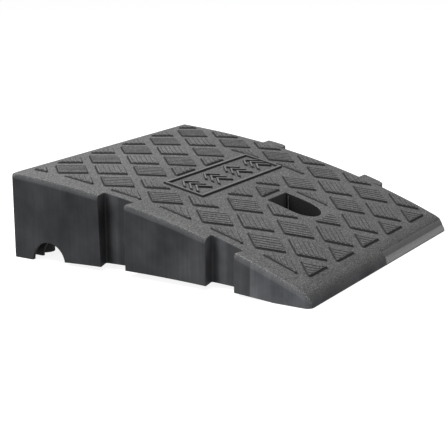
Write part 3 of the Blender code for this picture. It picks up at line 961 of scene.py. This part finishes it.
def fittings():
    """One foot, washer and screw at each of the CAD's places."""
    kinds = (
        ("foot", foot_shape(), rubber(), "foot_rubber"),
        ("screw", screw_shape(), zinc(*SCREW_ZINC), "zinc"),
        ("washer", washer_shape(), zinc(*WASHER_ZINC), "zinc"),
    )
    for kind, shape, material, slot in kinds:
        shape.data.shade_smooth()
        shape.data.set_sharp_from_angle(angle=FITTING_SHARP)
        shape.data.materials.clear()
        shape.data.materials.append(material)
        for end in FOOT_ROWS:
            for side in FOOT_COLUMNS:
                node = f"{kind}_{end}_{side}"
                low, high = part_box(node)
                piece = bpy.data.objects.new(f"{shape.name}_{end}_{side}", shape.data)
                piece.location = ((low.x + high.x) / 2, (low.y + high.y) / 2, low.z)
                bpy.context.scene.collection.objects.link(piece)
                claim(piece, node)
        bpy.data.objects.remove(shape, do_unlink=True)


# Materials. Greys go from the texture's dark parts to its light ones.

DECK_GREYS = (0.052, 0.144, 0.283)
DECK_FADE = (
    (row(11.15), 0.68),
    (row(11.0), 0.86),
    (row(8), 0.88),
    (row(5), 0.82),
    (row(2), 0.97),
    (row(0), 1.0),
)
WALL_GREYS = ((0.036, 0.038, 0.041), (0.060, 0.062, 0.066), (0.088, 0.090, 0.095))
WALL_TO_DECK_ROUGHNESS = (0.42, 0.8)
WALL_TO_DECK_RELIEF = (0.12, 1.0)
# Of the plain polymers, the first is worn smooth; the second is painted light on the toe lip and the grip
# seam; the rest are painted shade on the sides of studs, ridges and the grip hole, the hole_lit one a lighter
# painted copy for hole walls that face the toe.
PLAIN_POLYMERS = {
    "worn_edge": (0.14, 0.21),
    "worn_lip": (0.25, 0.37),
    "stud_side": (0.013, 0.036),
    "hole_side": (0.010, 0.028),
    "hole_lit": (0.034, 0.070),
    "ridge_side": (0.014, 0.032),
}

# Looks that change over the moulding. A pair is where a change starts and where it is full: a part of the
# surface's normal in STEEP_TO_UP and SIDEWAYS, and a place or a value of the noise in the rest.
STEEP_TO_UP = (0.2, 0.75)
SIDEWAYS = (-0.3, -0.9)
# Painted light on the walls: lighter towards the toe, and more so on the side's last stretch.
TOE_LIGHT_RUN = (0.12, -0.10)
TOE_LIGHT_GAIN = 1.65
TOE_STRETCH = (row(9.42) + 0.0008, row(9.42) - 0.0008)
TOE_STRETCH_GAIN = 2.1
# Painted highlights: lighter bands on the sockets' back walls.
HIGHLIGHT_PLACE = 0.014
HIGHLIGHT_HALF = 0.011
HIGHLIGHT_DEPTHS = (0.6, 0.95, 1.05, 1.1)
HIGHLIGHT_FULL = 0.6
HIGHLIGHT_GAIN = 1.75
WEAR_REACH = (0.0012, 0.0032, 0.0045, 0.0068)
WEAR_RUN = (row(4.5), row(9.2))
WEAR_AMOUNTS = (0.12, 0.7)
WEAR_SPECKS = (0.50, 0.60)

# Zinc: (name, roughness, size of the clouds, dark colour, light colour, roughness of both).
SCREW_ZINC = ("zinc_plate", 0.3, 700.0, (0.52, 0.53, 0.55), (0.68, 0.68, 0.66), (0.24, 0.42))
WASHER_ZINC = ("stamped_zinc", 0.35, 500.0, (0.50, 0.50, 0.51), (0.64, 0.64, 0.62), (0.30, 0.50))


class Material:
    """A new material with its Principled shader, and short ways to add nodes."""

    def __init__(self, name, roughness, metallic=0.0):
        self.material = bpy.data.materials.new(name)
        self.material.use_nodes = True
        self.tree = self.material.node_tree
        self.shader = self.tree.nodes["Principled BSDF"]
        self.shader.inputs["Roughness"].default_value = roughness
        self.shader.inputs["Metallic"].default_value = metallic
        self.place = self.tree.nodes.new("ShaderNodeTexCoord").outputs["Object"]

    def link(self, source, target):
        self.tree.links.new(source, target)

    def noise(self, scale, detail, stretch=None):
        """Noise in object space. Stretch is how much finer or coarser each axis is."""
        place = self.place
        if stretch:
            mapping = self.tree.nodes.new("ShaderNodeMapping")
            mapping.inputs["Scale"].default_value = stretch
            self.link(place, mapping.inputs["Vector"])
            place = mapping.outputs["Vector"]
        node = self.tree.nodes.new("ShaderNodeTexNoise")
        node.inputs["Scale"].default_value = scale
        node.inputs["Detail"].default_value = detail
        self.link(place, node.inputs["Vector"])
        return node.outputs["Fac"]

    def ramp(self, source, stops):
        """Colours along a value. A stop is (position, grey or colour)."""
        node = self.tree.nodes.new("ShaderNodeValToRGB")
        elements = node.color_ramp.elements
        while len(elements) < len(stops):
            elements.new(0.5)
        for element, (position, colour) in zip(elements, stops):
            element.position = position
            element.color = (*(colour if isinstance(colour, tuple) else (colour,) * 3), 1)
        self.link(source, node.inputs["Fac"])
        return node.outputs["Color"]

    def span(self, source, low, high, out_low=0.0, out_high=1.0):
        """A value from out_low to out_high as the source goes from low to high."""
        node = self.tree.nodes.new("ShaderNodeMapRange")
        limits = {"From Min": low, "From Max": high, "To Min": out_low, "To Max": out_high}
        for name, value in limits.items():
            node.inputs[name].default_value = value
        self.link(source, node.inputs["Value"])
        return node.outputs["Result"]

    def times(self, a, b):
        node = self.tree.nodes.new("ShaderNodeMath")
        node.operation = "MULTIPLY"
        self.link(a, node.inputs[0])
        self.link(b, node.inputs[1])
        return node.outputs[0]

    def mix(self, factor, a, b, blend="MIX"):
        node = self.tree.nodes.new("ShaderNodeMix")
        node.data_type = "RGBA"
        node.blend_type = blend
        if isinstance(factor, float):
            node.inputs["Factor"].default_value = factor
        else:
            self.link(factor, node.inputs["Factor"])
        self.link(a, node.inputs["A"])
        self.link(b, node.inputs["B"])
        return node.outputs["Result"]

    def shade(self, colour, amount):
        """The colour multiplied by the amount."""
        return self.mix(1.0, colour, amount, "MULTIPLY")

    def axes(self, vector):
        node = self.tree.nodes.new("ShaderNodeSeparateXYZ")
        self.link(vector, node.inputs[0])
        return node.outputs

    def normal(self):
        return self.axes(self.tree.nodes.new("ShaderNodeNewGeometry").outputs["Normal"])

    def band(self, source, start, full, fading, end):
        """1 from full to fading, and 0 up to start and from end on."""
        return self.times(self.span(source, start, full), self.span(source, end, fading))

    def upward(self):
        """1 where the surface faces up, 0 where it is steep."""
        return self.span(self.normal()["Z"], *STEEP_TO_UP)

    def painted_toe_light(self):
        """Painted light towards the toe, as a multiplier, stronger on the last stretch of the side."""
        y = self.axes(self.place)["Y"]
        stretch = self.times(self.span(y, *TOE_STRETCH), self.span(self.normal()["X"], *SIDEWAYS))
        gain = self.span(stretch, 0.0, 1.0, 1.0, TOE_STRETCH_GAIN)
        return self.times(self.span(y, *TOE_LIGHT_RUN, 1.0, TOE_LIGHT_GAIN), gain)

    def along(self, stops):
        """Greys along the slope. A stop is (y, grey), from the toe up."""
        run = HIGH_END - TOE_END
        stops = [((y - TOE_END) / run, grey) for y, grey in stops]
        return self.ramp(self.span(self.axes(self.place)["Y"], TOE_END, HIGH_END), stops)

    def painted_socket_highlight(self):
        """Painted highlights: lighter bands on the sockets' back walls, as a multiplier."""
        place = self.axes(self.place)
        within = self.band(place["X"], *(NEAR_FACE + share * SOCKET_DEPTH for share in HIGHLIGHT_DEPTHS))
        amount = None
        for first, last in SOCKET_ROWS:
            middle = row(first) - HIGHLIGHT_PLACE
            band = self.band(place["Y"], middle - HIGHLIGHT_HALF, middle, middle, middle + HIGHLIGHT_HALF)
            gain = self.span(self.times(band, within), 0.0, HIGHLIGHT_FULL, 1.0, HIGHLIGHT_GAIN)
            amount = self.times(amount, gain) if amount else gain
        return amount

    def edge_wear(self):
        """1 in the specks where the deck's near edge is worn, with more of them at the toe."""
        place = self.axes(self.place)
        edge = self.band(place["X"], *(NEAR_FACE + reach for reach in WEAR_REACH))
        specks = self.span(self.noise(scale=620.0, detail=2.0), *WEAR_SPECKS)
        return self.times(self.times(edge, self.span(place["Y"], *WEAR_RUN, *WEAR_AMOUNTS)), specks)

    def bump(self, height, distance, strength):
        node = self.tree.nodes.new("ShaderNodeBump")
        node.inputs["Distance"].default_value = distance
        node.inputs["Strength"].default_value = strength
        self.link(height, node.inputs["Height"])
        self.link(node.outputs["Normal"], self.shader.inputs["Normal"])

    def colour(self, source):
        self.link(source, self.shader.inputs["Base Color"])


def deck_polymer():
    """Dark grey polymer: sanded, and painted lighter as painted light, where it faces up; smoother, streaky,
    and painted darker as painted shade, on the walls.
    """
    m = Material("moulded_polymer", 0.6)
    up = m.upward()
    grain = m.noise(scale=430.0, detail=3.0)
    deck = m.ramp(grain, list(zip((0.30, 0.52, 0.72), DECK_GREYS)))
    deck = m.shade(deck, m.ramp(m.noise(scale=9.0, detail=3.0), [(0.3, 0.86), (0.7, 1.0)]))
    deck = m.shade(deck, m.along(DECK_FADE))
    mottle = m.noise(scale=16.0, detail=5.0)
    streaks = m.noise(scale=1.0, detail=3.0, stretch=(260.0, 260.0, 9.0))
    wall = m.ramp(mottle, list(zip((0.32, 0.50, 0.70), WALL_GREYS)))
    wall = m.shade(wall, m.ramp(streaks, [(0.35, 0.86), (0.65, 1.0)]))
    # Painted light: the walls grow lighter towards the toe.
    wall = m.shade(wall, m.painted_toe_light())
    # Painted highlights on the sockets' back walls.
    wall = m.shade(wall, m.painted_socket_highlight())
    worn = m.ramp(grain, [(0.3, 0.22), (0.7, 0.42)])
    # Painted light and shade: the upward mask gives faces that face up the lighter deck greys and steep faces
    # the darker wall greys.
    m.colour(m.mix(m.edge_wear(), m.mix(up, wall, deck), worn))
    m.link(m.span(up, 0.0, 1.0, *WALL_TO_DECK_ROUGHNESS), m.shader.inputs["Roughness"])
    relief = m.times(grain, m.span(up, 0.0, 1.0, *WALL_TO_DECK_RELIEF))
    m.bump(relief, distance=0.0009, strength=0.7)
    return m.material


def plain_polymer(name, greys):
    """The same polymer with one grain: light where worn smooth or where light is painted, dark where shade is
    painted.
    """
    m = Material(name, 0.7)
    m.shader.inputs["Specular IOR Level"].default_value = 0.3
    grain = m.noise(scale=500.0, detail=2.0)
    m.colour(m.ramp(grain, [(0.3, greys[0]), (0.7, greys[1])]))
    m.bump(grain, distance=0.0004, strength=0.5)
    return m.material


def rubber():
    m = Material("black_rubber", 0.8)
    grain = m.noise(scale=900.0, detail=3.0)
    m.colour(m.ramp(grain, [(0.3, (0.014, 0.014, 0.015)), (0.7, (0.028, 0.028, 0.029))]))
    m.bump(grain, distance=0.0002, strength=0.6)
    return m.material


def zinc(name, roughness, scale, dark, light, gloss):
    """Zinc plate, cloudy in its colour and gloss."""
    m = Material(name, roughness, 1.0)
    cloud = m.noise(scale=scale, detail=4.0)
    m.colour(m.ramp(cloud, [(0.3, dark), (0.7, light)]))
    m.link(m.span(cloud, 0.3, 0.7, *gloss), m.shader.inputs["Roughness"])
    return m.material


# Stage. The floor lies a hair below the soles, so that the two don't flicker through each other.

FLOOR_DROP = 0.0003
FLOOR_HALF = 6.0
FLOOR_GREY = 0.4
FLOOR_GLOW = 0.88

# Lights: (name, place, target, size, power).
LIGHTS = (
    ("overhead", (-0.4, 0.7, 2.2), (0, 0, 0), (2.0, 2.0), 70),
    ("side", (-2.4, 0.9, 1.0), (0, 0, 0.05), (1.2, 1.2), 12),
    ("front", (0.5, -2.4, 0.7), (0, 0, 0.05), (1.6, 0.8), 9),
)
WORLD_STRENGTH = 0.2

# Camera, as fitted to the photograph. Angles are in radians, the lens and the sensor in millimetres.
CAMERA_YAW = 1.0233173
CAMERA_PITCH = 0.2557453
CAMERA_ROLL = -0.0048885
CAMERA_PLACE = (-1.78315, -1.0541, 0.5726)
CAMERA_LENS = 103.59
CAMERA_SENSOR = 36.0
CAMERA_FAR = 50.0


def floor():
    """A pale floor with a glow of its own, which the object doesn't reflect."""
    bm = bmesh.new()
    bmesh.ops.create_grid(bm, x_segments=1, y_segments=1, size=FLOOR_HALF)
    obj = object_from(bm, "studio_floor")
    material = bpy.data.materials.new("studio_floor")
    material.use_nodes = True
    shader = material.node_tree.nodes["Principled BSDF"]
    shader.inputs["Base Color"].default_value = (FLOOR_GREY, FLOOR_GREY, FLOOR_GREY, 1)
    shader.inputs["Roughness"].default_value = 1.0
    shader.inputs["Emission Color"].default_value = (1, 1, 1, 1)
    shader.inputs["Emission Strength"].default_value = FLOOR_GLOW
    obj.data.materials.append(material)
    obj.visible_diffuse = False
    obj.visible_glossy = False
    obj.location.z = BASE - FLOOR_DROP


def area_light(name, place, target, size, power):
    light = bpy.data.lights.new(name, "AREA")
    light.shape = "RECTANGLE"
    light.size, light.size_y = size
    light.energy = power
    obj = bpy.data.objects.new(name, light)
    obj.location = place
    obj.rotation_euler = (Vector(target) - Vector(place)).to_track_quat("-Z", "Y").to_euler()
    bpy.context.scene.collection.objects.link(obj)


def lights():
    for light in LIGHTS:
        area_light(*light)
    world = bpy.data.worlds.new("studio")
    bpy.context.scene.world = world
    world.use_nodes = True
    background = world.node_tree.nodes["Background"]
    background.inputs["Color"].default_value = (1, 1, 1, 1)
    background.inputs["Strength"].default_value = WORLD_STRENGTH
    bpy.context.scene.view_settings.view_transform = "Standard"


def camera():
    yaw, pitch, roll = CAMERA_YAW, CAMERA_PITCH, CAMERA_ROLL
    level = Vector((math.sin(yaw), math.cos(yaw), 0))
    forward = level * math.cos(pitch) - Vector((0, 0, math.sin(pitch)))
    right = Vector((math.cos(yaw), -math.sin(yaw), 0))
    up = right.cross(forward)
    turned_right = right * math.cos(roll) + up * math.sin(roll)
    turned_up = up * math.cos(roll) - right * math.sin(roll)
    data = bpy.data.cameras.new("camera")
    data.lens = CAMERA_LENS
    data.sensor_width = CAMERA_SENSOR
    data.clip_end = CAMERA_FAR
    obj = bpy.data.objects.new("camera", data)
    rotation = Matrix((turned_right, turned_up, -forward)).transposed()
    obj.matrix_world = Matrix.Translation(CAMERA_PLACE) @ rotation.to_4x4()
    bpy.context.scene.collection.objects.link(obj)
    bpy.context.scene.camera = obj


camera()
lights()
floor()
moulding()
fittings()
